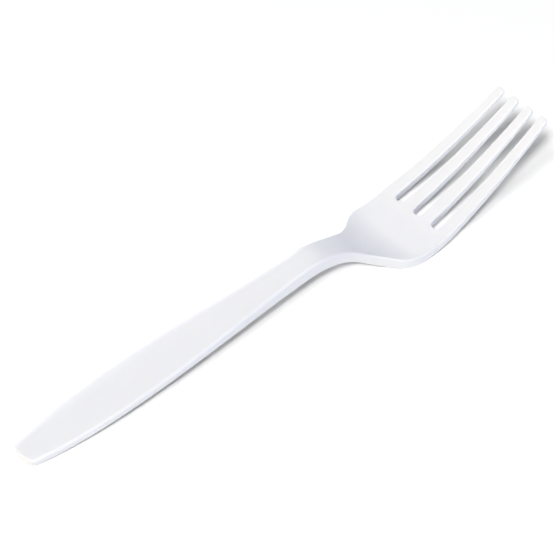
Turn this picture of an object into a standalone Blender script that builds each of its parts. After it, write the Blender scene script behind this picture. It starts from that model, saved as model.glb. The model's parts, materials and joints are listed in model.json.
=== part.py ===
"""Disposable plastic fork with four tines, injection moulded in one piece.

The fork is drawn with its handle level and its butt at x = 0, tines towards +X, one half from the
centre line out. It is then laid down as it rests on a table, on its belly and the foot of its butt.
The top is a smooth plate. Its edge turns down into a wall all round the handle and the neck, which
leaves the underside open, and which runs out into the solid head and tines.
"""

import math
from collections import namedtuple

import bmesh
import bpy
from mathutils import Matrix, Vector

MM = 0.001
DEGREE = math.pi / 180
SIN_45 = math.sin(45 * DEGREE)

# Side view of the rim line, as a level run and three arcs that meet smoothly
HANDLE_LENGTH = 94.3 * MM  # from the butt to the start of the neck's bend
NECK_BEND_RADIUS = 30.5 * MM
NECK_DROP_ANGLE = 38.7 * DEGREE  # steepest fall behind the head
HEEL_BEND_RADIUS = 29.6 * MM
TINE_RISE_ANGLE = 11.5 * DEGREE  # where the heel hands over to the tines
TINE_BEND_RADIUS = 182.0 * MM

# Outline seen from above
BUTT_WIDTH = 8.7 * MM
BUTT_ARC_DEPTH = 1.1 * MM  # how far the end stands out past its corners
BUTT_ARC_FADE = 6  # power by which that arc dies out towards the grip
BUTT_CORNER_RADIUS = 1.0 * MM
BUTT_TAPER_POWER = 2.2  # above 1, the taper is steepest at the butt
GRIP_WIDTH = 14.6 * MM
GRIP_FROM_BUTT = 36.0 * MM
NECK_WIDTH = 8.2 * MM
NECK_FROM_BUTT = 105.6 * MM
NECK_FILLET_RADIUS = 21.0 * MM
HEAD_CORNER_RADIUS = 12.1 * MM

# Tines and the slots between them
OUTER_TINE = 1.5  # pitches from the centre line to the outer of two tines a side
ROOTS_FROM_BUTT = 137.6 * MM
TINE_LENGTH = 42.9 * MM
ROOT_PITCH = 7.48 * MM
TIP_PITCH = 5.79 * MM
ROOT_TINE_WIDTH = 4.44 * MM
TIP_TINE_WIDTH = 3.0 * MM
TIP_NOSE_LENGTH = 0.6 * MM
TIP_CORNER_CUT = 0.45 * MM

# Moulded section
PLATE_THICKNESS = 1.3 * MM
WALL_THICKNESS = 1.2 * MM
HANDLE_EDGE_DEPTH = 1.85 * MM
NECK_EDGE_DEPTH = 3.95 * MM
DEEPEST_FROM_BUTT = 115.0 * MM
ROOT_THICKNESS = 2.3 * MM
TIP_THICKNESS = 1.1 * MM
HANDLE_CROWN = 0.45 * MM
NECK_DISH = 0.5 * MM
ROOT_DISH = 0.25 * MM
CROWN_FLAT_SHARE = 0.4  # middle part of the handle's width that is flat
DRAFT = math.tan(2 * DEGREE)  # lets the mould open

# Rounded edges
RIM_RADIUS = 0.8 * MM
TINE_EDGE_RADIUS = 0.45 * MM
FOOT_RADIUS = 0.25 * MM
SHARP_ANGLE = 40 * DEGREE  # steeper edges are shaded sharp

# Spacing of the mesh's rows
HANDLE_ROW_STEP = 7.0 * MM
BEND_ROW_STEP = 2.2 * MM
TINE_ROW_STEP = 4.5 * MM

SLOT_RIM_REACH = 0.5  # share of its radius that the bent row round a slot end keeps between the slots
SLOPE_REACH = 0.1 * MM  # half of the run over which the side view's slope is read
SETTLING_PASSES = 5
MERGE_DISTANCE = 0.01 * MM

WHITE_PLASTIC = (0.86, 0.86, 0.87, 1.0)

FORK_LENGTH = ROOTS_FROM_BUTT + TINE_LENGTH
HEAD_HALF_WIDTH = OUTER_TINE * ROOT_PITCH + ROOT_TINE_WIDTH / 2

# Columns of the half section, from the centre line out
SLOT_COLUMNS = (0, 1, 6, 7, 8)
TINE_EDGE_COLUMNS = (2, 5, 9)
OUTER_PLATE_COLUMN = 11
EDGE_COLUMN = 14
COLUMN_COUNT = EDGE_COLUMN + 1
WALL_STEPS = EDGE_COLUMN - OUTER_PLATE_COLUMN

Row = namedtuple("Row", "kind x step", defaults=(0,))


def mix(start, end, share):
    return start + (end - start) * min(max(share, 0.0), 1.0)


def ease(start, end, share):
    """Goes from start to end with no kink at either."""
    share = min(max(share, 0.0), 1.0)
    return mix(start, end, 0.5 - 0.5 * math.cos(math.pi * share))


def arc_height(radius, along):
    """How far an arc stands from its centre line at this distance along it."""
    return math.sqrt(max(radius**2 - along**2, 0.0))


def rim_height(x):
    """Side view: level handle, arc down at the neck, arc up at the heel, then the tines' long arc."""
    neck_end = HANDLE_LENGTH + NECK_BEND_RADIUS * math.sin(NECK_DROP_ANGLE)
    neck_end_height = -NECK_BEND_RADIUS * (1 - math.cos(NECK_DROP_ANGLE))
    heel_x = neck_end + HEEL_BEND_RADIUS * math.sin(NECK_DROP_ANGLE)
    heel_height = neck_end_height + HEEL_BEND_RADIUS * math.cos(NECK_DROP_ANGLE)
    tines_start = heel_x + HEEL_BEND_RADIUS * math.sin(TINE_RISE_ANGLE)
    centre_shift = TINE_BEND_RADIUS - HEEL_BEND_RADIUS
    if x <= HANDLE_LENGTH:
        return 0.0
    if x <= neck_end:
        return arc_height(NECK_BEND_RADIUS, x - HANDLE_LENGTH) - NECK_BEND_RADIUS
    if x <= tines_start:
        return heel_height - arc_height(HEEL_BEND_RADIUS, x - heel_x)
    tine_x = heel_x - centre_shift * math.sin(TINE_RISE_ANGLE)
    tine_height = heel_height + centre_shift * math.cos(TINE_RISE_ANGLE)
    return tine_height - arc_height(TINE_BEND_RADIUS, x - tine_x)


def slant(x):
    """Turns a thickness square to the rim line into an upright one."""
    slope = (rim_height(x + SLOPE_REACH) - rim_height(x - SLOPE_REACH)) / (2 * SLOPE_REACH)
    return math.hypot(1.0, slope)


def tine_share(x):
    """0 at the slot roots, 1 at the tips."""
    return min(max((x - ROOTS_FROM_BUTT) / TINE_LENGTH, 0.0), 1.0)


def pitch(x):
    return mix(ROOT_PITCH, TIP_PITCH, tine_share(x))


def tine_width(x):
    return mix(ROOT_TINE_WIDTH, TIP_TINE_WIDTH, tine_share(x))


def handle_half_width(x):
    if x < GRIP_FROM_BUTT:
        swell = 1 - ((GRIP_FROM_BUTT - x) / GRIP_FROM_BUTT) ** BUTT_TAPER_POWER
        half = mix(BUTT_WIDTH, GRIP_WIDTH, swell) / 2
    else:
        half = ease(GRIP_WIDTH, NECK_WIDTH, (x - GRIP_FROM_BUTT) / (NECK_FROM_BUTT - GRIP_FROM_BUTT)) / 2
    if x < BUTT_CORNER_RADIUS:
        half += arc_height(BUTT_CORNER_RADIUS, BUTT_CORNER_RADIUS - x) - BUTT_CORNER_RADIUS
    return half


def half_width(x):
    """The outline seen from above: the handle, two arcs out to the head, then the outer tine."""
    turn = math.acos(1 - (HEAD_HALF_WIDTH - NECK_WIDTH / 2) / (NECK_FILLET_RADIUS + HEAD_CORNER_RADIUS))
    arcs_meet = NECK_FROM_BUTT + NECK_FILLET_RADIUS * math.sin(turn)
    full_width = arcs_meet + HEAD_CORNER_RADIUS * math.sin(turn)
    if x < NECK_FROM_BUTT:
        return handle_half_width(x)
    if x < arcs_meet:
        return NECK_WIDTH / 2 + NECK_FILLET_RADIUS - arc_height(NECK_FILLET_RADIUS, x - NECK_FROM_BUTT)
    if x < full_width:
        return HEAD_HALF_WIDTH - HEAD_CORNER_RADIUS + arc_height(HEAD_CORNER_RADIUS, full_width - x)
    return OUTER_TINE * pitch(x) + tine_width(x) / 2


def plate_thickness(x):
    head = ease(PLATE_THICKNESS, ROOT_THICKNESS, (x - NECK_FROM_BUTT) / (ROOTS_FROM_BUTT - NECK_FROM_BUTT))
    return mix(head, TIP_THICKNESS, tine_share(x)) * slant(x)


def edge_depth(x):
    """How deep the outer wall is, from the rim line to its foot."""
    if x < GRIP_FROM_BUTT:
        return HANDLE_EDGE_DEPTH
    if x < DEEPEST_FROM_BUTT:
        share = (x - GRIP_FROM_BUTT) / (DEEPEST_FROM_BUTT - GRIP_FROM_BUTT)
        return ease(HANDLE_EDGE_DEPTH, NECK_EDGE_DEPTH, share)
    if x < ROOTS_FROM_BUTT:
        share = (x - DEEPEST_FROM_BUTT) / (ROOTS_FROM_BUTT - DEEPEST_FROM_BUTT)
        return ease(NECK_EDGE_DEPTH, plate_thickness(ROOTS_FROM_BUTT), share)
    return plate_thickness(x)


def rim_radius(x):
    return ease(RIM_RADIUS, TINE_EDGE_RADIUS, (x - DEEPEST_FROM_BUTT) / (ROOTS_FROM_BUTT - DEEPEST_FROM_BUTT))


def crown(x, y):
    """The plate's rise over the rim line: a flat-topped crown on the handle, a shallow dish in the head."""
    across = min(abs(y) / half_width(x), 1.0)
    shoulder = max(across - CROWN_FLAT_SHARE, 0.0) / (1 - CROWN_FLAT_SHARE)
    to_head = (x - HANDLE_LENGTH) / (DEEPEST_FROM_BUTT - HANDLE_LENGTH)
    handle_rise = ease(HANDLE_CROWN, 0.0, to_head) * (1 - shoulder**2)
    to_roots = (x - DEEPEST_FROM_BUTT) / (ROOTS_FROM_BUTT - DEEPEST_FROM_BUTT)
    dish_depth = ease(0.0, ease(NECK_DISH, ROOT_DISH, to_roots), to_head) * (1 - tine_share(x))
    return handle_rise - dish_depth * (1 - across**2)


def half_gap(x, foot):
    """Half of a slot's width. Draft makes the slot narrower at the foot."""
    gap = (pitch(x) - tine_width(x)) / 2
    return gap - plate_thickness(x) * DRAFT if foot else gap


def tine_edge_radius(foot):
    return FOOT_RADIUS if foot else TINE_EDGE_RADIUS


def edge_insets(x, foot):
    """Distances in from the outline, for the outermost columns and for the first rows at the butt."""
    if foot:
        wall_top = WALL_THICKNESS + max(edge_depth(x) - plate_thickness(x), 0.0) * DRAFT
        return (0.0, FOOT_RADIUS, WALL_THICKNESS, wall_top + FOOT_RADIUS)
    radius = rim_radius(x)
    return (0.0, radius * (1 - SIN_45), radius, WALL_THICKNESS + FOOT_RADIUS)


def outline_half_width(x, foot):
    return half_width(x) + edge_depth(x) * DRAFT if foot else half_width(x)


def inner_places(x, foot):
    """Places across of the slot and tine edges, from the centre line out."""
    gap = half_gap(x, foot)
    rounding = tine_edge_radius(foot)
    diagonal = gap * SIN_45
    middle = pitch(x)
    inner_tine = [gap, gap + rounding, middle - gap - rounding, middle - gap]
    outer_slot = [middle - diagonal, middle, middle + diagonal]
    return [0.0, diagonal] + inner_tine + outer_slot + [middle + gap, middle + gap + rounding]


def places_across(x, foot):
    """Places of all columns. Behind the slot roots the inner ones spread over the plate's width."""
    half = outline_half_width(x, foot)
    insets = edge_insets(x, foot)
    inner = inner_places(x, foot)
    if x <= ROOTS_FROM_BUTT:
        scale = (half_width(x) - WALL_THICKNESS) / (HEAD_HALF_WIDTH - WALL_THICKNESS)
        inner = [place * scale for place in inner]
        outer_plate = half - insets[3]
    else:
        outer_plate = (inner[-1] + half - insets[2]) / 2
    return inner + [outer_plate] + [half - inset for inset in insets[2::-1]]


def spread(start, stop, step):
    """Even stations from start up to stop, which is left out."""
    count = max(1, round((stop - start) / step))
    return [mix(start, stop, index / count) for index in range(count)]


def fork_rows():
    """Rows across the fork, from the butt to the tips."""
    slot_end = ROOTS_FROM_BUTT + half_gap(ROOTS_FROM_BUTT, False)
    last_plain = ROOTS_FROM_BUTT - TINE_EDGE_RADIUS - BEND_ROW_STEP / 2
    nose = FORK_LENGTH - TIP_NOSE_LENGTH
    plain = spread(2 * WALL_THICKNESS + BUTT_ARC_DEPTH, HANDLE_LENGTH, HANDLE_ROW_STEP)
    plain += spread(HANDLE_LENGTH, last_plain, BEND_ROW_STEP) + [last_plain]
    rows = [Row("butt", 0.0, step) for step in range(len(edge_insets(0.0, False)))]
    rows += [Row("plain", x) for x in plain]
    rows += [Row("slot rim", slot_end), Row("slot end", slot_end)]
    rows += [Row("tine", x) for x in spread(slot_end + TINE_ROW_STEP / 2, nose, TINE_ROW_STEP) + [nose]]
    return rows + [Row("tip", FORK_LENGTH)]


def slot_arc(row, column, foot):
    """How far a row bends back round the rounded slot ends at this column."""
    gap = half_gap(ROOTS_FROM_BUTT, foot)
    place = inner_places(ROOTS_FROM_BUTT, foot)[min(column, OUTER_PLATE_COLUMN - 1)]
    off_centre = min(place, abs(place - ROOT_PITCH))
    if row.kind == "slot end":
        return arc_height(gap, off_centre)
    radius = gap + TINE_EDGE_RADIUS
    return max(arc_height(radius, off_centre), radius * SLOT_RIM_REACH)


def row_place(row, column, foot):
    """Place of a row along the fork at this column, before the butt's arc."""
    if row.kind == "butt":
        flare = edge_depth(0.0) * DRAFT if foot else 0.0
        return edge_insets(0.0, foot)[row.step] - flare
    if row.kind in ("slot rim", "slot end"):
        return row.x - slot_arc(row, column, foot)
    if row.kind == "tip" and column in TINE_EDGE_COLUMNS + (EDGE_COLUMN,):
        return row.x - TIP_CORNER_CUT
    return row.x


def butt_arc(x, y):
    """How far the rounded end holds a row back towards its corners. It fades out by the grip."""
    share = min(abs(y) / (BUTT_WIDTH / 2), 1.0)
    return BUTT_ARC_DEPTH * share**2 * (1 - min(max(x / GRIP_FROM_BUTT, 0.0), 1.0)) ** BUTT_ARC_FADE


def edge_drop(row, column, foot):
    """How much a vertex on a rounded edge is lowered on top, or raised underneath."""
    on_slot = row.kind in ("slot end", "tine", "tip") and column in SLOT_COLUMNS + TINE_EDGE_COLUMNS
    rounding = tine_edge_radius(foot)
    if on_slot or row.kind == "tip":
        return rounding
    steps_in = EDGE_COLUMN - column
    if row.kind == "butt":
        steps_in = min(steps_in, row.step)
    if foot:
        return FOOT_RADIUS if steps_in == 0 else 0.0
    radius = rim_radius(row.x)
    return {0: radius, 1: radius * (1 - SIN_45)}.get(steps_in, 0.0)


def on_wall_foot(row, column):
    return column > OUTER_PLATE_COLUMN or row.kind == "butt" and row.step < WALL_STEPS


def vertex_place(row, column, foot):
    row_x = row_place(row, column, foot)
    y = places_across(max(row_x, 0.0), foot)[column]
    x = row_x + butt_arc(row_x, y)
    station = max(row_x, 0.0)
    top = rim_height(station) + crown(station, y)
    if not foot:
        return Vector((x, y, top - edge_drop(row, column, foot)))
    if on_wall_foot(row, column):
        return Vector((x, y, rim_height(station) - edge_depth(station) + edge_drop(row, column, foot)))
    return Vector((x, y, top - plate_thickness(station) + edge_drop(row, column, foot)))


def half_grid(rows):
    """A flat grid of the half fork, less the faces inside the slots. Row and column are kept as layers."""
    bm = bmesh.new()
    row_layer = bm.verts.layers.int.new("row")
    column_layer = bm.verts.layers.int.new("column")
    bmesh.ops.create_grid(bm, x_segments=len(rows) - 1, y_segments=COLUMN_COUNT - 1, size=0.5)
    for vert in bm.verts:
        vert[row_layer] = round((vert.co.x + 0.5) * (len(rows) - 1))
        vert[column_layer] = round((vert.co.y + 0.5) * (COLUMN_COUNT - 1))
    slot_end = [row.kind for row in rows].index("slot end")
    in_slots = []
    for face in bm.faces:
        past_end = min(vert[row_layer] for vert in face.verts) >= slot_end
        if past_end and any(vert[column_layer] in SLOT_COLUMNS for vert in face.verts):
            in_slots.append(face)
    bmesh.ops.delete(bm, geom=in_slots, context="FACES")
    return bm, row_layer, column_layer


def open_at_centre(bm, column_layer):
    """Takes away the wall that the extrusion leaves on the mirror plane."""
    on_plane = [face for face in bm.faces if all(vert[column_layer] == 0 for vert in face.verts)]
    bmesh.ops.delete(bm, geom=on_plane, context="FACES")


def half_fork():
    rows = fork_rows()
    bm, row_layer, column_layer = half_grid(rows)
    extruded = bmesh.ops.extrude_face_region(bm, geom=bm.faces[:])["geom"]
    top_verts = {item for item in extruded if isinstance(item, bmesh.types.BMVert)}
    for vert in bm.verts:
        vert.co = vertex_place(rows[vert[row_layer]], vert[column_layer], vert not in top_verts)
    open_at_centre(bm, column_layer)
    bmesh.ops.recalc_face_normals(bm, faces=bm.faces[:])
    return bm


def lay_down(bm):
    """Tips the fork until the butt and the belly both touch the table, and centres it on the origin."""
    for _ in range(SETTLING_PASSES):
        butt = min((vert.co for vert in bm.verts if vert.co.x < GRIP_FROM_BUTT), key=lambda place: place.z)
        belly = min((vert.co for vert in bm.verts if vert.co.x > HANDLE_LENGTH), key=lambda place: place.z)
        tilt = math.atan2(belly.z - butt.z, belly.x - butt.x)
        bmesh.ops.rotate(bm, verts=bm.verts[:], matrix=Matrix.Rotation(tilt, 3, "Y"))
    low_x = min(vert.co.x for vert in bm.verts)
    high_x = max(vert.co.x for vert in bm.verts)
    floor = min(vert.co.z for vert in bm.verts)
    bmesh.ops.translate(bm, verts=bm.verts[:], vec=(-(low_x + high_x) / 2, 0.0, -floor))


def white_plastic():
    material = bpy.data.materials.new("white_plastic")
    material.use_nodes = True
    shader = material.node_tree.nodes["Principled BSDF"]
    shader.inputs["Base Color"].default_value = WHITE_PLASTIC
    shader.inputs["Roughness"].default_value = 0.3
    shader.inputs["Metallic"].default_value = 0.0
    return material


def add_fork(collection):
    bm = half_fork()
    lay_down(bm)
    mesh = bpy.data.meshes.new("fork")
    bm.to_mesh(mesh)
    bm.free()
    mesh.shade_smooth()
    mesh.set_sharp_from_angle(angle=SHARP_ANGLE)
    mesh.materials.append(white_plastic())
    fork = bpy.data.objects.new("fork", mesh)
    collection.objects.link(fork)
    mirror = fork.modifiers.new("other half", "MIRROR")
    mirror.use_axis = (False, True, False)
    mirror.use_clip = True
    mirror.merge_threshold = MERGE_DISTANCE
    return fork


def main():
    for obj in list(bpy.data.objects):
        bpy.data.objects.remove(obj)
    collection = bpy.data.collections.new("disposable_fork")
    bpy.context.scene.collection.children.link(collection)
    add_fork(collection)


main()
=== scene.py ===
"""Looks of a disposable plastic fork: fine moulded surface, white plastic, floor and light."""

import json
import math
from collections import namedtuple

import bpy
from bpy.props import FloatProperty, FloatVectorProperty, PointerProperty
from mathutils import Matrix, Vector

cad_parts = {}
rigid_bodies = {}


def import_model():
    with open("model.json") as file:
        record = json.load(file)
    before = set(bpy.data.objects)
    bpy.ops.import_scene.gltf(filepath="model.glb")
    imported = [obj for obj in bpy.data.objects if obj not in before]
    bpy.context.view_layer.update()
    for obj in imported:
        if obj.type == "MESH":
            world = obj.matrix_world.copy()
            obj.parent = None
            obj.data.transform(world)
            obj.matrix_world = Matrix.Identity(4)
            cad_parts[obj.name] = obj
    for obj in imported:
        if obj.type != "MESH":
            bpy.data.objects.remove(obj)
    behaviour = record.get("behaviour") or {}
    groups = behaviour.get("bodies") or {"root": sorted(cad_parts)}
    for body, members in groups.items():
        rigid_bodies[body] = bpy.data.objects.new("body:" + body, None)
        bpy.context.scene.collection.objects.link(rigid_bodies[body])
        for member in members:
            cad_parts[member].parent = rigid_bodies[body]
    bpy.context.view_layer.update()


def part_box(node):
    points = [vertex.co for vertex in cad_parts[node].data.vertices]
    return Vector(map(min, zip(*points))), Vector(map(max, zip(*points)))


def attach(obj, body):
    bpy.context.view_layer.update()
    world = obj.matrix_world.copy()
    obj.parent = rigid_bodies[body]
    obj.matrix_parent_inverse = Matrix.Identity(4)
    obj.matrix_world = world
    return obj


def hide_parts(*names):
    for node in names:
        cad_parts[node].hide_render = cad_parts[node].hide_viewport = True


bl_info = {
    "name": "Disposable Fork",
    "version": (1, 0, 0),
    "blender": (4, 5, 0),
    "location": "3D View > Sidebar > Fork",
    "description": "Models a white moulded fork around its frame, with a floor and soft studio light",
    "category": "Add Mesh",
}

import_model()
FORK_LOW, FORK_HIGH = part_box("fork")

MM = 0.001
DEGREE = math.pi / 180
QUARTER = 90 * DEGREE
SMOOTH_UP_TO = 40 * DEGREE  # sharper edges than this stay sharp
OUTER_TINE = 1.5  # pitches from the centre line to the outer of two tines a side

# Steps of the fine mesh across an edge, counted in from the outline
RIM_STEPS = 8
FOOT_STEPS = 3
WALL_FOOT_STEPS = 5
WALL_INSIDE_STEPS = 8
EDGE_STEPS = 16
SLOT_ROUND_STEPS = 4  # over a slot's or a tip's rounded edge, and across a tine
SLOT_ARC_STEPS = 7  # from a slot's middle to its side
RINGS = 3  # round a slot's end
WALL_LOOPS = (0.08, 0.9)  # shares of the way up the outer walls

# The blank is a grid from -0.5 to 0.5 each way, with the fork's centre line along its low Y side.
GRID_EDGE = 0.5
GRID_TOUCH = 1e-4
MERGE_DISTANCE = 0.01 * MM
SETTLING_ROUNDS = 5

POLYSTYRENE_IOR = 1.59
STREAK_STRETCH = (1.0, 4.0, 4.0)  # the melt's streaks are four times as long as wide
NOISE_LOW, NOISE_HIGH = 0.2, 0.8  # nearly all of a noise texture lies between these

SENSOR_WIDTH = 36.0  # millimetres
NEAREST_SEEN = 10 * MM

# Softboxes stand round the fork, so many metres off and so many degrees wide as seen from it. Strength 1
# shows white as white. Each lights the fork or the floor, and those for the sheen only add a reflection.
LAMP_DISTANCE = 4.0
Softbox = namedtuple("Softbox", "name azimuth elevation spread strength colour lights")
SOFTBOXES = (
    Softbox("over left", 180, 62, 34, 0.395, "FFFDF9", "fork"),
    Softbox("left", 180, 36, 34, 0.19, "FFF7DC", "fork"),
    Softbox("low back left", 140, 12, 34, 0.11, "FFECD2", "fork"),
    Softbox("over front", 270, 62, 34, 0.29, "F9F5EE", "fork"),
    Softbox("front", 270, 36, 34, 0.17, "DCE8FF", "fork"),
    Softbox("low front", 262, 14, 20, 0.06, "FFFFFF", "fork"),
    Softbox("back", 90, 22, 34, 0.24, "D8E6FF", "fork"),
    Softbox("front right", 315, 36, 34, 0.09, "4C94FF", "fork"),
    Softbox("near rim", 310, 42, 8, 0.12, "FFFFFF", "sheen"),
    Softbox("far shoulder", 70, 22, 24, 0.20, "F4F7FF", "sheen"),
    Softbox("neck bend", 46, 40, 14, 0.035, "FFF4E6", "sheen"),
    Softbox("floor beside camera", 219, 48, 8, 0.88, "FFFFFF", "floor"),
    Softbox("floor high left", 205, 56, 16, 0.46, "FFFFFF", "floor"),
    Softbox("floor back", 100, 50, 24, 0.13, "FFFFFF", "floor"),
)

Row = namedtuple("Row", "kind x share", defaults=(0.0,))
Column = namedtuple("Column", "zone share")


def linear(code):
    """Turns an sRGB hex colour into the linear values that shaders take."""
    values = [int(code[start:start + 2], 16) / 255 for start in (0, 2, 4)]
    return [value / 12.92 if value <= 0.04045 else ((value + 0.055) / 1.055) ** 2.4 for value in values]


def length(name, description, millimetres):
    return FloatProperty(name=name, description=description, default=millimetres * MM, unit="LENGTH")


def angle(name, description, degrees):
    return FloatProperty(name=name, description=description, default=degrees * DEGREE, subtype="ANGLE")


def ratio(name, description, value):
    return FloatProperty(name=name, description=description, default=value, min=0.0, max=1.0)


def colour(name, description, code):
    return FloatVectorProperty(
        name=name, description=description, default=linear(code), subtype="COLOR", size=3
    )


class ForkSizes(bpy.types.PropertyGroup):
    handle_length: length("Handle", "From the butt to the start of the neck's bend", 94.3)
    neck_bend_radius: length("Neck bend", "Radius of the bend down behind the head", 30.5)
    neck_drop_angle: angle("Neck drop", "Steepest fall of the neck", 38.7)
    heel_bend_radius: length("Heel bend", "Radius of the bend up into the head", 29.6)
    tine_rise_angle: angle("Tine rise", "Rise where the heel hands over to the tines", 11.5)
    tine_bend_radius: length("Tine bend", "Radius of the tines' long curve", 182.0)
    butt_width: length("Butt width", "Width of the handle's end", 8.7)
    butt_arc_depth: length("Butt arc", "How far the end stands out past its corners", 1.1)
    butt_corner_radius: length("Butt corners", "Radius of the end's corners", 1.0)
    grip_width: length("Grip width", "Widest place of the handle", 14.6)
    grip_from_butt: length("Grip place", "From the butt to the widest place", 36.0)
    neck_width: length("Neck width", "Narrowest place", 8.2)
    neck_from_butt: length("Neck place", "From the butt to the narrowest place", 105.6)
    neck_fillet_radius: length("Neck fillet", "Radius of the outline's inward arc", 21.0)
    head_corner_radius: length("Head corner", "Radius of the outline's outward arc", 12.1)
    roots_from_butt: length("Slot roots", "From the butt to the ends of the slots", 137.6)
    tine_length: length("Tine length", "From the slot ends to the tips", 42.9)
    root_pitch: length("Root pitch", "Spacing of the tines at the slot ends", 7.48)
    tip_pitch: length("Tip pitch", "Spacing of the tines at the tips", 5.79)
    root_tine_width: length("Root width", "Width of a tine at the slot ends", 4.44)
    tip_tine_width: length("Tip width", "Width of a tine at its tip", 3.0)
    tip_corner_radius: length("Tip corners", "Radius of a tip's corners", 0.9)
    plate_thickness: length("Plate", "Thickness of the handle's top", 1.3)
    wall_thickness: length("Wall", "Thickness of the turned-down edge", 1.2)
    handle_edge_depth: length("Handle edge", "Depth of the edge along the handle", 1.85)
    neck_edge_depth: length("Neck edge", "Depth of the edge at the neck", 3.95)
    deepest_from_butt: length("Deepest place", "From the butt to where the edge is deepest", 115.0)
    root_thickness: length("Root thickness", "Thickness of the head at the slot ends", 2.3)
    tip_thickness: length("Tip thickness", "Thickness of the tines at their tips", 1.1)
    handle_crown: length("Crown", "Rise of the handle's middle over its rim", 0.45)
    neck_dish: length("Neck dish", "Depth of the hollow behind the head", 0.5)
    root_dish: length("Root dish", "Depth of the hollow at the slot ends", 0.25)
    rim_radius: length("Rim", "Radius of the top edge of handle and neck", 0.8)
    tine_edge_radius: length("Tine edges", "Radius of the tines' top edges", 0.45)
    foot_radius: length("Lower edges", "Radius of the edges underneath", 0.25)
    draft_angle: angle("Draft", "Slope of the walls that lets the mould open", 2.0)


class ForkMesh(bpy.types.PropertyGroup):
    handle_row: length("Handle rows", "Spacing of the rows along the handle", 1.6)
    bend_row: length("Bend rows", "Spacing of the rows along the bends", 0.7)
    tine_row: length("Tine rows", "Spacing of the rows along the tines", 1.1)
    edge_band: length("Edge band", "Width of the band of fine columns at the edge", 1.9)
    slot_ring: length("Slot rings", "Spacing of the rings outside a slot's rounded end", 0.45)


def direction(azimuth, elevation):
    """Points from the fork to this azimuth, counted from +X towards +Y, and this height."""
    flat = math.cos(elevation)
    return Vector((math.cos(azimuth) * flat, math.sin(azimuth) * flat, math.sin(elevation)))


def mix(start, end, share):
    return start + (end - start) * min(max(share, 0.0), 1.0)


def ease(start, end, share):
    """Goes from start to end with no kink at either."""
    share = min(max(share, 0.0), 1.0)
    return mix(start, end, 0.5 - 0.5 * math.cos(math.pi * share))


def arc_height(radius, along):
    """How far an arc stands from its centre line at this distance along it."""
    return math.sqrt(max(radius**2 - along**2, 0.0))


def rounding_inset(turn, radius):
    """Distance in from an edge, a share of the way round its rounding."""
    return radius * (1 - math.cos(QUARTER * min(turn, 1.0)))


def rounding_drop(turn, radius):
    """How far the surface is lowered there."""
    return radius * (1 - math.sin(QUARTER * min(turn, 1.0)))


def spread(start, stop, step):
    """Even stations from start up to stop, which is left out."""
    count = max(1, round((stop - start) / step))
    return [mix(start, stop, index / count) for index in range(count)]


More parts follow.
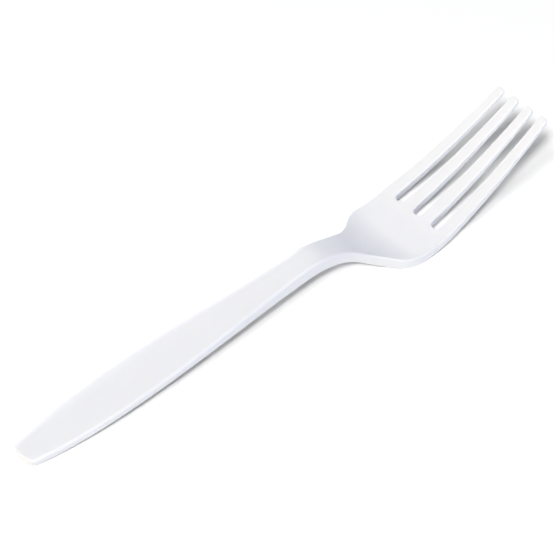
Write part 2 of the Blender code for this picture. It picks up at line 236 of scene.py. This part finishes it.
class Form:
    """One half of the form as drawn: handle level, butt at x = 0, tines towards +X."""

    crown_flat_share = 0.4
    butt_taper_power = 2.2
    butt_arc_fade = 6

    def __init__(self, sizes, mesh):
        for group in (sizes, mesh):
            for name in group.__annotations__:
                setattr(self, name, getattr(group, name))
        self.draft = math.tan(self.draft_angle)
        self.end = self.roots_from_butt + self.tine_length
        self.head_half_width = OUTER_TINE * self.root_pitch + self.root_tine_width / 2
        self.slot_end = self.roots_from_butt + (self.root_pitch - self.root_tine_width) / 2
        self.ring_reach = self.tine_edge_radius + (RINGS - 1) * self.slot_ring
        self.neck_end = self.handle_length + self.neck_bend_radius * math.sin(self.neck_drop_angle)
        self.heel_x = self.neck_end + self.heel_bend_radius * math.sin(self.neck_drop_angle)
        self.tines_start = self.heel_x + self.heel_bend_radius * math.sin(self.tine_rise_angle)
        both_bends = self.neck_bend_radius + self.heel_bend_radius
        self.heel_height = both_bends * math.cos(self.neck_drop_angle) - self.neck_bend_radius
        out = self.head_half_width - self.neck_width / 2
        turn = math.acos(1 - out / (self.neck_fillet_radius + self.head_corner_radius))
        self.arcs_meet = self.neck_from_butt + self.neck_fillet_radius * math.sin(turn)
        self.full_width = self.arcs_meet + self.head_corner_radius * math.sin(turn)

    def rim_height(self, x):
        """Side view: level handle, arc down, arc up at the heel, then the tines' long arc."""
        if x <= self.handle_length:
            return 0.0
        if x <= self.neck_end:
            return arc_height(self.neck_bend_radius, x - self.handle_length) - self.neck_bend_radius
        if x <= self.tines_start:
            return self.heel_height - arc_height(self.heel_bend_radius, x - self.heel_x)
        centre_shift = self.tine_bend_radius - self.heel_bend_radius
        tine_x = self.heel_x - centre_shift * math.sin(self.tine_rise_angle)
        tine_height = self.heel_height + centre_shift * math.cos(self.tine_rise_angle)
        return tine_height - arc_height(self.tine_bend_radius, x - tine_x)

    def slant(self, x):
        """Turns a thickness square to the rim line into an upright one."""
        reach = 0.1 * MM
        return math.hypot(1.0, (self.rim_height(x + reach) - self.rim_height(x - reach)) / (2 * reach))

    def tine_share(self, x):
        """0 at the slot roots, 1 at the tips."""
        return min(max((x - self.roots_from_butt) / self.tine_length, 0.0), 1.0)

    def pitch(self, x):
        return mix(self.root_pitch, self.tip_pitch, self.tine_share(x))

    def tine_width(self, x):
        return mix(self.root_tine_width, self.tip_tine_width, self.tine_share(x))

    def handle_half_width(self, x):
        if x < self.grip_from_butt:
            swell = 1 - ((self.grip_from_butt - x) / self.grip_from_butt) ** self.butt_taper_power
            half = mix(self.butt_width, self.grip_width, swell) / 2
        else:
            share = (x - self.grip_from_butt) / (self.neck_from_butt - self.grip_from_butt)
            half = ease(self.grip_width, self.neck_width, share) / 2
        corner = self.butt_corner_radius
        return half + arc_height(corner, corner - x) - corner if x < corner else half

    def half_width(self, x):
        """The outline seen from above: the handle, two arcs out to the head, then the outer tine."""
        if x < self.neck_from_butt:
            return self.handle_half_width(x)
        if x < self.arcs_meet:
            fillet = self.neck_fillet_radius
            return self.neck_width / 2 + fillet - arc_height(fillet, x - self.neck_from_butt)
        if x < self.full_width:
            corner = self.head_corner_radius
            return self.head_half_width - corner + arc_height(corner, self.full_width - x)
        return OUTER_TINE * self.pitch(x) + self.tine_width(x) / 2

    def plate(self, x):
        """Upright thickness of the top plate, or of the solid head and tines."""
        share = (x - self.neck_from_butt) / (self.roots_from_butt - self.neck_from_butt)
        head = ease(self.plate_thickness, self.root_thickness, share)
        return mix(head, self.tip_thickness, self.tine_share(x)) * self.slant(x)

    def edge_depth(self, x):
        """How deep the outer wall is, from the rim line to its foot."""
        if x < self.grip_from_butt:
            return self.handle_edge_depth
        if x < self.deepest_from_butt:
            share = (x - self.grip_from_butt) / (self.deepest_from_butt - self.grip_from_butt)
            return ease(self.handle_edge_depth, self.neck_edge_depth, share)
        if x < self.roots_from_butt:
            return ease(self.neck_edge_depth, self.plate(self.roots_from_butt), self.to_roots(x))
        return self.plate(x)

    def to_roots(self, x):
        """0 where the edge is deepest, 1 at the slot roots."""
        return (x - self.deepest_from_butt) / (self.roots_from_butt - self.deepest_from_butt)

    def top_radius(self, x):
        return ease(self.rim_radius, self.tine_edge_radius, self.to_roots(x))

    def crown(self, x, y):
        """The plate's rise over the rim: a flat-topped crown on the handle, a dish in the head."""
        across = min(abs(y) / self.half_width(x), 1.0)
        shoulder = max(across - self.crown_flat_share, 0.0) / (1 - self.crown_flat_share)
        to_head = (x - self.handle_length) / (self.deepest_from_butt - self.handle_length)
        handle_rise = ease(self.handle_crown, 0.0, to_head) * (1 - shoulder**2)
        dish = ease(0.0, ease(self.neck_dish, self.root_dish, self.to_roots(x)), to_head)
        return handle_rise - dish * (1 - self.tine_share(x)) * (1 - across**2)

    def half_gap(self, x, foot):
        """Half of a slot's width. Draft makes the slot narrower at the foot."""
        gap = (self.pitch(x) - self.tine_width(x)) / 2
        return gap - self.plate(x) * self.draft if foot else gap

    def slot_radius(self, foot):
        return self.foot_radius if foot else self.tine_edge_radius

    def outline(self, x, foot):
        return self.half_width(x) + self.edge_depth(x) * self.draft if foot else self.half_width(x)

    def wall_inside(self, step):
        """Share of the way up the wall's inner side, and how far in. It is one S-bend."""
        share = min(max((step - WALL_FOOT_STEPS) / WALL_INSIDE_STEPS, 0.0), 1.0)
        run = 2 * self.foot_radius
        return ease(0.0, 1.0, share), self.wall_thickness + run * (0.5 + 4 * (share - 0.5) ** 3)

    def edge_inset(self, x, step, foot):
        """Distance in from the outline, so many steps in from it."""
        if not foot and step <= RIM_STEPS:
            return rounding_inset(step / RIM_STEPS, self.top_radius(x))
        if foot and step <= FOOT_STEPS:
            return rounding_inset(step / FOOT_STEPS, self.foot_radius)
        if not foot:
            share = (step - RIM_STEPS) / (EDGE_STEPS - RIM_STEPS)
            return mix(self.top_radius(x), self.edge_band, share)
        if step <= WALL_FOOT_STEPS:
            share = (step - FOOT_STEPS) / (WALL_FOOT_STEPS - FOOT_STEPS)
            return mix(self.foot_radius, self.wall_thickness, share)
        inside_end = WALL_FOOT_STEPS + WALL_INSIDE_STEPS
        inset = self.wall_inside(step)[1]
        return mix(inset, self.edge_band, (step - inside_end) / (EDGE_STEPS - inside_end))

    def place_across(self, column, x, foot):
        """Place of a column. Behind the slot roots the inner ones close up over the plate's width."""
        if column.zone == "edge":
            return self.outline(x, foot) - self.edge_inset(x, column.share, foot)
        gap = self.half_gap(x, foot)
        radius = self.slot_radius(foot)
        middle = self.pitch(x)
        band = self.outline(max(x, self.roots_from_butt), foot) - self.edge_band
        place = {
            "centre slot": gap * math.sin(QUARTER * column.share),
            "inner near edge": gap + rounding_inset(column.share, radius),
            "inner tine": mix(gap + radius, middle - gap - radius, column.share),
            "inner far edge": middle - gap - rounding_inset(column.share, radius),
            "outer slot": middle + gap * math.sin(QUARTER * column.share),
            "outer near edge": middle + gap + rounding_inset(column.share, radius),
            "outer tine": mix(middle + gap + radius, band, column.share),
        }[column.zone]
        if x < self.roots_from_butt:
            return place * (self.outline(x, foot) - self.edge_band) / band
        return place

    def slot_distance(self, x, y, foot):
        """Distance outside the nearest slot's side, 0 inside a slot."""
        off_centre = min(abs(y), abs(abs(y) - self.pitch(x)))
        return max(off_centre - self.half_gap(x, foot), 0.0), off_centre

    def slot_row_x(self, row, y, foot):
        """A row bent round the slots' rounded ends, so many rings out."""
        beside, off_centre = self.slot_distance(self.slot_end, y, foot)
        ring = rounding_inset(row.share, self.slot_radius(foot)) + max(row.share - 1, 0) * self.slot_ring
        if beside <= ring:
            return self.slot_end - arc_height(self.half_gap(self.slot_end, foot) + ring, off_centre)
        return self.slot_end + min(beside, self.ring_reach) - ring

    def tip_row_x(self, row, y, foot):
        """A row bent round the tips' corners, a share of the way over their rounded edge."""
        beside = self.slot_distance(self.end, y, foot)[0]
        beside = min(beside, max(self.outline(self.end, foot) - abs(y), 0.0))
        inset = rounding_inset(row.share, self.slot_radius(foot))
        corner = self.tip_corner_radius - inset
        if beside < inset:
            return self.end - self.tip_corner_radius - (inset - beside)
        return self.end - inset - corner + arc_height(corner, max(self.tip_corner_radius - beside, 0.0))

    def row_x(self, row, y, foot):
        if row.kind == "butt":
            foot_reach = self.edge_depth(0.0) * self.draft if foot else 0.0
            return self.edge_inset(0.0, row.share, foot) - foot_reach
        if row.kind == "slot":
            return self.slot_row_x(row, y, foot)
        if row.kind == "tip":
            return self.tip_row_x(row, y, foot)
        return row.x

    def butt_arc(self, x, y):
        """How far the rounded end holds a row back towards its corners. It fades out by the grip."""
        share = min(abs(y) / (self.butt_width / 2), 1.0)
        fade = (1 - min(max(x / self.grip_from_butt, 0.0), 1.0)) ** self.butt_arc_fade
        return self.butt_arc_depth * share**2 * fade

    def edge_step(self, row, column):
        """Steps in from the outline, counted from the side or from the butt, whichever is nearer."""
        from_side = column.share if column.zone == "edge" else EDGE_STEPS
        return min(from_side, row.share) if row.kind == "butt" else from_side

    def slot_turn(self, row, column):
        """Share of the way over a slot's or tip's rounded edge, 1 and more clear of it."""
        on_edge = column.zone.endswith("near edge") or column.zone.endswith("far edge")
        turn = column.share if on_edge else 0.0 if column.zone.endswith("slot") else float(RINGS)
        if row.kind == "slot":
            return max(row.share, turn)
        if row.kind == "tip":
            return min(row.share, turn)
        return turn if row.x > self.slot_end else float(RINGS)

    def drop(self, row, column, x, foot):
        """How much the rounded edges lower the top, or raise the underside."""
        if foot:
            outline_drop = rounding_drop(self.edge_step(row, column) / FOOT_STEPS, self.foot_radius)
        else:
            outline_drop = rounding_drop(self.edge_step(row, column) / RIM_STEPS, self.top_radius(x))
        return max(outline_drop, rounding_drop(self.slot_turn(row, column), self.slot_radius(foot)))

    def place(self, row, column, foot):
        """A vertex of the top, or of the underside."""
        nominal = self.row_x(row, 0.0, foot) if row.kind == "butt" else row.x
        row_x = self.row_x(row, self.place_across(column, max(nominal, 0.0), foot), foot)
        x = max(row_x, 0.0)
        y = self.place_across(column, x, foot)
        top = self.rim_height(x) + self.crown(x, y)
        drop = self.drop(row, column, x, foot)
        if not foot:
            return Vector((row_x + self.butt_arc(row_x, y), y, top - drop))
        rise = self.wall_inside(self.edge_step(row, column))[0]
        underside = mix(self.rim_height(x) - self.edge_depth(x), top - self.plate(x), rise)
        return Vector((row_x + self.butt_arc(row_x, y), y, underside + drop))

    def rows(self):
        """Rows across the fork, from the butt to the tips."""
        rings = [RINGS - index for index in range(RINGS)]
        turns = [1 - index / SLOT_ROUND_STEPS for index in range(1, SLOT_ROUND_STEPS + 1)]
        first = self.edge_band + self.butt_arc_depth
        last = self.roots_from_butt - self.ring_reach - self.bend_row
        past_slot_end = self.slot_end + self.ring_reach + self.bend_row
        nose = self.end - self.tip_corner_radius - self.tine_edge_radius - self.bend_row / 2
        rows = [Row("butt", 0.0, step) for step in range(EDGE_STEPS + 1)]
        rows += [Row("plain", x) for x in spread(first, self.handle_length, self.handle_row)]
        rows += [Row("plain", x) for x in spread(self.handle_length, last, self.bend_row) + [last]]
        rows += [Row("slot", self.slot_end, share) for share in rings + turns]
        rows += [Row("plain", x) for x in spread(past_slot_end, nose, self.tine_row) + [nose]]
        return rows + [Row("tip", self.end, share) for share in [1.0] + turns]

    def columns(self):
        """Columns of the half, from the centre line out."""
        turns = [index / SLOT_ROUND_STEPS for index in range(SLOT_ROUND_STEPS + 1)]
        half_slot = [index / SLOT_ARC_STEPS for index in range(SLOT_ARC_STEPS)]
        whole_slot = [-share for share in half_slot[:0:-1]] + half_slot
        between = [index / SLOT_ROUND_STEPS for index in range(1, SLOT_ROUND_STEPS)]
        columns = [Column("centre slot", share) for share in half_slot]
        columns += [Column("inner near edge", turn) for turn in turns]
        columns += [Column("inner tine", share) for share in between]
        columns += [Column("inner far edge", turn) for turn in reversed(turns)]
        columns += [Column("outer slot", share) for share in whole_slot]
        columns += [Column("outer near edge", turn) for turn in turns]
        columns += [Column("outer tine", share) for share in between]
        return columns + [Column("edge", step) for step in range(EDGE_STEPS, -1, -1)]


def select_faces(mesh, wanted):
    """Selects the faces for which wanted is true, and nothing else."""
    for part in (mesh.vertices, mesh.edges, mesh.polygons):
        part.foreach_set("select", [False] * len(part))
    for face in mesh.polygons:
        face.select = wanted(face)


def grid_spot(vert, rows, columns):
    """Row and column of one of the blank's vertices."""
    row = round((vert.co.x + GRID_EDGE) * (len(rows) - 1))
    return row, round((vert.co.y + GRID_EDGE) * (len(columns) - 1))


def lowest(places):
    return min(places, key=lambda place: place.z)


def start_piece(name):
    """The object that was just added, under its own name."""
    piece = bpy.context.active_object
    piece.name = name
    piece.data.name = name
    return piece


class FORK_OT_add_fork(bpy.types.Operator):
    """Model the fork: a plate cut into tines, its edge turned down, mirrored and laid on its belly"""

    bl_idname = "fork.add_fork"
    bl_label = "Fork"

    def cut_blank(self, rows, columns):
        """A flat grid of the half fork, less the faces inside the slots."""
        bpy.context.tool_settings.mesh_select_mode = (False, False, True)
        bpy.ops.object.select_all(action="DESELECT")
        bpy.ops.mesh.primitive_grid_add(
            x_subdivisions=len(rows) - 1, y_subdivisions=len(columns) - 1, size=2 * GRID_EDGE
        )
        blank = start_piece("moulded_fork")
        spots = [grid_spot(vert, rows, columns) for vert in blank.data.vertices]
        open_row = max(index for index, row in enumerate(rows) if row.kind == "slot")

        def in_slot(face):
            corners = [spots[index] for index in face.vertices]
            past_end = min(row for row, _ in corners) >= open_row
            return past_end and any(columns[column].zone.endswith("slot") for _, column in corners)

        select_faces(blank.data, in_slot)
        bpy.ops.object.mode_set(mode="EDIT")
        bpy.ops.mesh.delete(type="FACE")
        bpy.ops.object.mode_set(mode="OBJECT")
        return blank

    def raise_layers(self, blank):
        """Extrudes the sheet up, a layer for each loop round its walls and one for its top.

        The wall that this makes along the centre line is taken out, because the other half goes there.
        """
        bpy.ops.object.mode_set(mode="EDIT")
        bpy.ops.mesh.select_all(action="SELECT")
        for _ in range(len(WALL_LOOPS) + 1):
            bpy.ops.mesh.extrude_region()
            bpy.ops.transform.translate(value=(0.0, 0.0, 1.0))
        bpy.ops.object.mode_set(mode="OBJECT")
        verts = blank.data.vertices

        def on_centre_line(face):
            return all(verts[index].co.y < GRID_TOUCH - GRID_EDGE for index in face.vertices)

        select_faces(blank.data, on_centre_line)
        bpy.ops.object.mode_set(mode="EDIT")
        bpy.ops.mesh.delete(type="FACE")
        bpy.ops.object.mode_set(mode="OBJECT")

    def shape(self, form, blank, rows, columns):
        """Puts each vertex where the form has it."""
        top_layer = len(WALL_LOOPS) + 1
        for vert in blank.data.vertices:
            row_index, column_index = grid_spot(vert, rows, columns)
            row = rows[row_index]
            column = columns[column_index]
            layer = round(vert.co.z)
            if layer in (0, top_layer):
                vert.co = form.place(row, column, layer == 0)
            else:
                foot = form.place(row, column, True)
                vert.co = foot.lerp(form.place(row, column, False), WALL_LOOPS[layer - 1])

    def mirror(self, half):
        """Adds the other half and turns all faces outwards."""
        other_half = half.modifiers.new("other half", "MIRROR")
        other_half.use_axis = (False, True, False)
        other_half.use_clip = True
        other_half.merge_threshold = MERGE_DISTANCE
        bpy.ops.object.modifier_apply(modifier=other_half.name)
        bpy.ops.object.mode_set(mode="EDIT")
        bpy.ops.mesh.select_all(action="SELECT")
        bpy.ops.mesh.normals_make_consistent(inside=False)
        bpy.ops.object.mode_set(mode="OBJECT")

    def lay_down(self, form, fork):
        """Tips the fork until its butt and belly both touch the floor, in the frame's own place."""
        for _ in range(SETTLING_ROUNDS):
            places = [vert.co for vert in fork.data.vertices]
            butt = lowest(place for place in places if place.x < form.grip_from_butt)
            belly = lowest(place for place in places if place.x > form.handle_length)
            fork.rotation_euler.y = math.atan2(belly.z - butt.z, belly.x - butt.x)
            bpy.ops.object.transform_apply(location=False, rotation=True, scale=False)
        places = [vert.co for vert in fork.data.vertices]
        middle = (min(place.x for place in places) + max(place.x for place in places)) / 2
        fork.location.x = (FORK_LOW.x + FORK_HIGH.x) / 2 - middle
        fork.location.z = FORK_LOW.z - min(place.z for place in places)
        bpy.ops.object.transform_apply(location=True, rotation=False, scale=False)

    def execute(self, context):
        form = Form(context.scene.fork_sizes, context.scene.fork_mesh)
        rows = form.rows()
        columns = form.columns()
        fork = self.cut_blank(rows, columns)
        self.raise_layers(fork)
        self.shape(form, fork, rows, columns)
        self.mirror(fork)
        self.lay_down(form, fork)
        bpy.ops.object.shade_smooth_by_angle(angle=SMOOTH_UP_TO)
        fork.data.materials.append(moulded_polystyrene(context.scene.fork_finish))
        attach(fork, "root")
        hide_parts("fork")
        return {"FINISHED"}


class ForkFinish(bpy.types.PropertyGroup):
    plastic: colour("Plastic", "White of the polystyrene", "F3F3F4")
    plastic_thin: colour("Flow streaks", "White where the melt ran a little clearer", "EFEFF2")
    flow_length: length("Flow", "Length of the faint streaks of the melt", 24.0)
    polish_patch: length("Polish patch", "Size of the patches that are more or less glossy", 5.0)
    grain: length("Grain", "Spacing of the fine grain of the mould", 0.45)
    grain_depth: length("Grain depth", "Depth of that grain", 0.004)
    glossy: ratio("Glossy", "Roughness of the glossiest patches", 0.29)
    satin: ratio("Satin", "Roughness of the dullest patches", 0.37)


class ForkStage(bpy.types.PropertyGroup):
    floor: colour("Floor", "White of the floor", "F0F0F0")
    floor_size: length("Floor size", "Side of the floor", 6000.0)
    floor_glow: ratio("Floor glow", "What the floor adds of its own to read as pure white", 0.04)
    fill: colour("Fill", "Tint of the room's weak light", "E0ECFF")
    fill_level: ratio("Fill level", "Strength of the room's weak light, 1 shows white as white", 0.03)
    azimuth: angle("Azimuth", "Direction that the camera looks from, turned from the front", -39.9)
    elevation: angle("Elevation", "Height of the camera over the floor, as an angle", 44.76)
    roll: angle("Roll", "Turn of the camera about its own axis", -0.07)
    distance: length("Distance", "From the camera to the point that it looks at", 611.76)
    aim_x: length("Aim along", "Point that the camera looks at, along the fork", 4.36)
    aim_y: length("Aim across", "Point that the camera looks at, across the fork", 8.81)
    focal_length: FloatProperty(name="Focal length", description="In millimetres", default=141.86)


def add_node(tree, kind, settings=(), inputs=()):
    """Adds a node, sets its own settings, and sets or links its inputs."""
    node = tree.nodes.new(kind)
    for name, value in dict(settings).items():
        setattr(node, name, value)
    for name, value in dict(inputs).items():
        if isinstance(value, bpy.types.NodeSocket):
            tree.links.new(value, node.inputs[name])
        else:
            node.inputs[name].default_value = value
    return node


def start_material(name):
    """A new material with an empty node tree."""
    material = bpy.data.materials.new(name)
    material.use_nodes = True
    material.node_tree.nodes.clear()
    return material


def moulded_polystyrene(finish):
    """Polystyrene filled with white pigment, injection moulded in a polished steel mould.

    To the eye it is a clean white with a satin gloss, a little uneven where the melt flowed along the
    fork and where the mould's polish varies. Light sinks a fraction of a millimetre into it.
    """
    material = start_material("moulded_polystyrene")
    tree = material.node_tree
    place = add_node(tree, "ShaderNodeTexCoord").outputs["Object"]
    stretched = {"Vector": place, "Scale": STREAK_STRETCH}
    along = add_node(tree, "ShaderNodeMapping", inputs=stretched).outputs["Vector"]
    streaks = {"Vector": along, "Scale": 1 / finish.flow_length, "Detail": 2.0}
    flow = add_node(tree, "ShaderNodeTexNoise", inputs=streaks).outputs["Fac"]
    whites = {0: flow, 6: (*finish.plastic, 1.0), 7: (*finish.plastic_thin, 1.0)}
    white = add_node(tree, "ShaderNodeMix", {"data_type": "RGBA"}, whites).outputs[2]
    patches = {"Vector": place, "Scale": 1 / finish.polish_patch, "Detail": 1.0}
    polish = add_node(tree, "ShaderNodeTexNoise", inputs=patches).outputs["Fac"]
    glosses = {
        "Value": polish,
        "From Min": NOISE_LOW,
        "From Max": NOISE_HIGH,
        "To Min": finish.glossy,
        "To Max": finish.satin,
    }
    roughness = add_node(tree, "ShaderNodeMapRange", inputs=glosses).outputs["Result"]
    # A mould's polishing marks are finer than a pixel. They are drawn as grain that just shows up close.
    specks = {"Vector": place, "Scale": 1 / finish.grain, "Detail": 1.0}
    grain = add_node(tree, "ShaderNodeTexNoise", inputs=specks).outputs["Fac"]
    relief = add_node(tree, "ShaderNodeBump", inputs={"Distance": finish.grain_depth, "Height": grain})
    plastic = {
        "Base Color": white,
        "Roughness": roughness,
        "Normal": relief.outputs["Normal"],
        "IOR": POLYSTYRENE_IOR,
        "Subsurface Weight": 0.12,
        "Subsurface Radius": (1.0, 0.9, 0.8),
        "Subsurface Scale": 0.8 * MM,
    }
    shader = add_node(tree, "ShaderNodeBsdfPrincipled", inputs=plastic)
    add_node(tree, "ShaderNodeOutputMaterial", inputs={"Surface": shader.outputs["BSDF"]})
    return material


def seen_directly(tree):
    """1 for what is seen, also mirrored or through glass, 0 for the light that falls on things."""
    rays = add_node(tree, "ShaderNodeLightPath").outputs
    seen = {0: rays["Is Camera Ray"], 1: rays["Is Glossy Ray"]}
    mirrored = add_node(tree, "ShaderNodeMath", {"operation": "MAXIMUM"}, seen).outputs[0]
    through = {0: mirrored, 1: rays["Is Transmission Ray"]}
    return add_node(tree, "ShaderNodeMath", {"operation": "MAXIMUM"}, through).outputs[0]


def gather(name, things):
    """A collection that lamps may be held to. It isn't part of the scene."""
    group = bpy.data.collections.new(name)
    for thing in things:
        group.objects.link(thing)
    return group


def white_paper(stage):
    """Matt white paper that keeps the fork's shadow. It glows a little, to read as pure white round it."""
    material = start_material("white_paper")
    tree = material.node_tree
    paper = add_node(tree, "ShaderNodeBsdfDiffuse", inputs={"Color": (*stage.floor, 1.0)})
    strength = {0: seen_directly(tree), 1: stage.floor_glow}
    glow = add_node(tree, "ShaderNodeMath", {"operation": "MULTIPLY"}, strength)
    light = add_node(tree, "ShaderNodeEmission", inputs={"Strength": glow.outputs[0]})
    both = add_node(tree, "ShaderNodeAddShader", inputs={0: paper.outputs[0], 1: light.outputs[0]})
    add_node(tree, "ShaderNodeOutputMaterial", inputs={"Surface": both.outputs[0]})
    return material


class FORK_OT_add_stage(bpy.types.Operator):
    """Add the floor, the light and the camera"""

    bl_idname = "fork.add_stage"
    bl_label = "Stage"

    def add_floor(self, stage):
        bpy.ops.object.select_all(action="DESELECT")
        bpy.ops.mesh.primitive_plane_add(size=stage.floor_size)
        floor = start_piece("floor")
        floor.data.materials.append(white_paper(stage))
        return floor

    def add_softbox(self, box, lit):
        """A round softbox that faces the fork. The camera doesn't see it."""
        data = bpy.data.lights.new(box.name, "AREA")
        data.shape = "DISK"
        half = box.spread * DEGREE / 2
        data.size = 2 * LAMP_DISTANCE * math.tan(half)
        data.energy = box.strength * (math.pi * LAMP_DISTANCE / math.cos(half)) ** 2
        data.color = linear(box.colour)
        lamp = bpy.data.objects.new(box.name, data)
        bpy.context.scene.collection.objects.link(lamp)
        lamp.location = direction(box.azimuth * DEGREE, box.elevation * DEGREE) * LAMP_DISTANCE
        lamp.rotation_euler = lamp.location.to_track_quat("Z", "Y").to_euler()
        lamp.visible_camera = False
        lamp.visible_diffuse = box.lights != "sheen"
        lamp.light_linking.receiver_collection = lit[box.lights]

    def add_room(self, stage):
        """Weak light from all round. The camera and reflections see a white room."""
        room = bpy.data.worlds.new("room")
        room.use_nodes = True
        tree = room.node_tree
        tree.nodes.clear()
        weak = {"Color": (*stage.fill, 1.0), "Strength": stage.fill_level}
        fill = add_node(tree, "ShaderNodeBackground", inputs=weak)
        white = add_node(tree, "ShaderNodeBackground", inputs={"Color": (1.0, 1.0, 1.0, 1.0)})
        sides = {0: seen_directly(tree), 1: fill.outputs[0], 2: white.outputs[0]}
        both = add_node(tree, "ShaderNodeMixShader", inputs=sides)
        add_node(tree, "ShaderNodeOutputWorld", inputs={"Surface": both.outputs[0]})
        bpy.context.scene.world = room

    def add_camera(self, stage):
        data = bpy.data.cameras.new("camera")
        data.sensor_width = SENSOR_WIDTH
        data.lens = stage.focal_length
        data.clip_start = NEAREST_SEEN
        camera = bpy.data.objects.new("camera", data)
        bpy.context.scene.collection.objects.link(camera)
        back = direction(stage.azimuth - QUARTER, stage.elevation)
        camera.location = Vector((stage.aim_x, stage.aim_y, 0.0)) + back * stage.distance
        camera.rotation_euler = back.to_track_quat("Z", "Y").to_euler()
        camera.rotation_euler.rotate_axis("Z", stage.roll)
        bpy.context.scene.camera = camera

    def execute(self, context):
        stage = context.scene.fork_stage
        floor = self.add_floor(stage)
        fork = [thing for thing in bpy.data.objects if thing.name.startswith("moulded_")]
        lit = {"floor": gather("floor_light", [floor]), "fork": gather("fork_light", fork)}
        lit["sheen"] = lit["fork"]
        for box in SOFTBOXES:
            self.add_softbox(box, lit)
        self.add_room(stage)
        self.add_camera(stage)
        return {"FINISHED"}


class FORK_PT_panel(bpy.types.Panel):
    """Lists the steps and the sizes"""

    bl_label = "Fork"
    bl_space_type = "VIEW_3D"
    bl_region_type = "UI"
    bl_category = "Fork"

    def draw(self, context):
        self.layout.operator(FORK_OT_add_fork.bl_idname)
        self.layout.operator(FORK_OT_add_stage.bl_idname)
        for name in ("fork_sizes", "fork_mesh", "fork_finish", "fork_stage"):
            box = self.layout.box()
            group = getattr(context.scene, name)
            for value in group.__annotations__:
                box.prop(group, value)


GROUPS = {
    "fork_sizes": ForkSizes,
    "fork_mesh": ForkMesh,
    "fork_finish": ForkFinish,
    "fork_stage": ForkStage,
}
CLASSES = (*GROUPS.values(), FORK_OT_add_fork, FORK_OT_add_stage, FORK_PT_panel)


def register():
    for cls in CLASSES:
        bpy.utils.register_class(cls)
    for name, group in GROUPS.items():
        setattr(bpy.types.Scene, name, PointerProperty(type=group))


def unregister():
    for name in GROUPS:
        delattr(bpy.types.Scene, name)
    for cls in reversed(CLASSES):
        bpy.utils.unregister_class(cls)


def main():
    register()
    bpy.ops.fork.add_fork()
    bpy.ops.fork.add_stage()
    bpy.context.scene.view_settings.view_transform = "Standard"


if __name__ == "__main__":
    main()
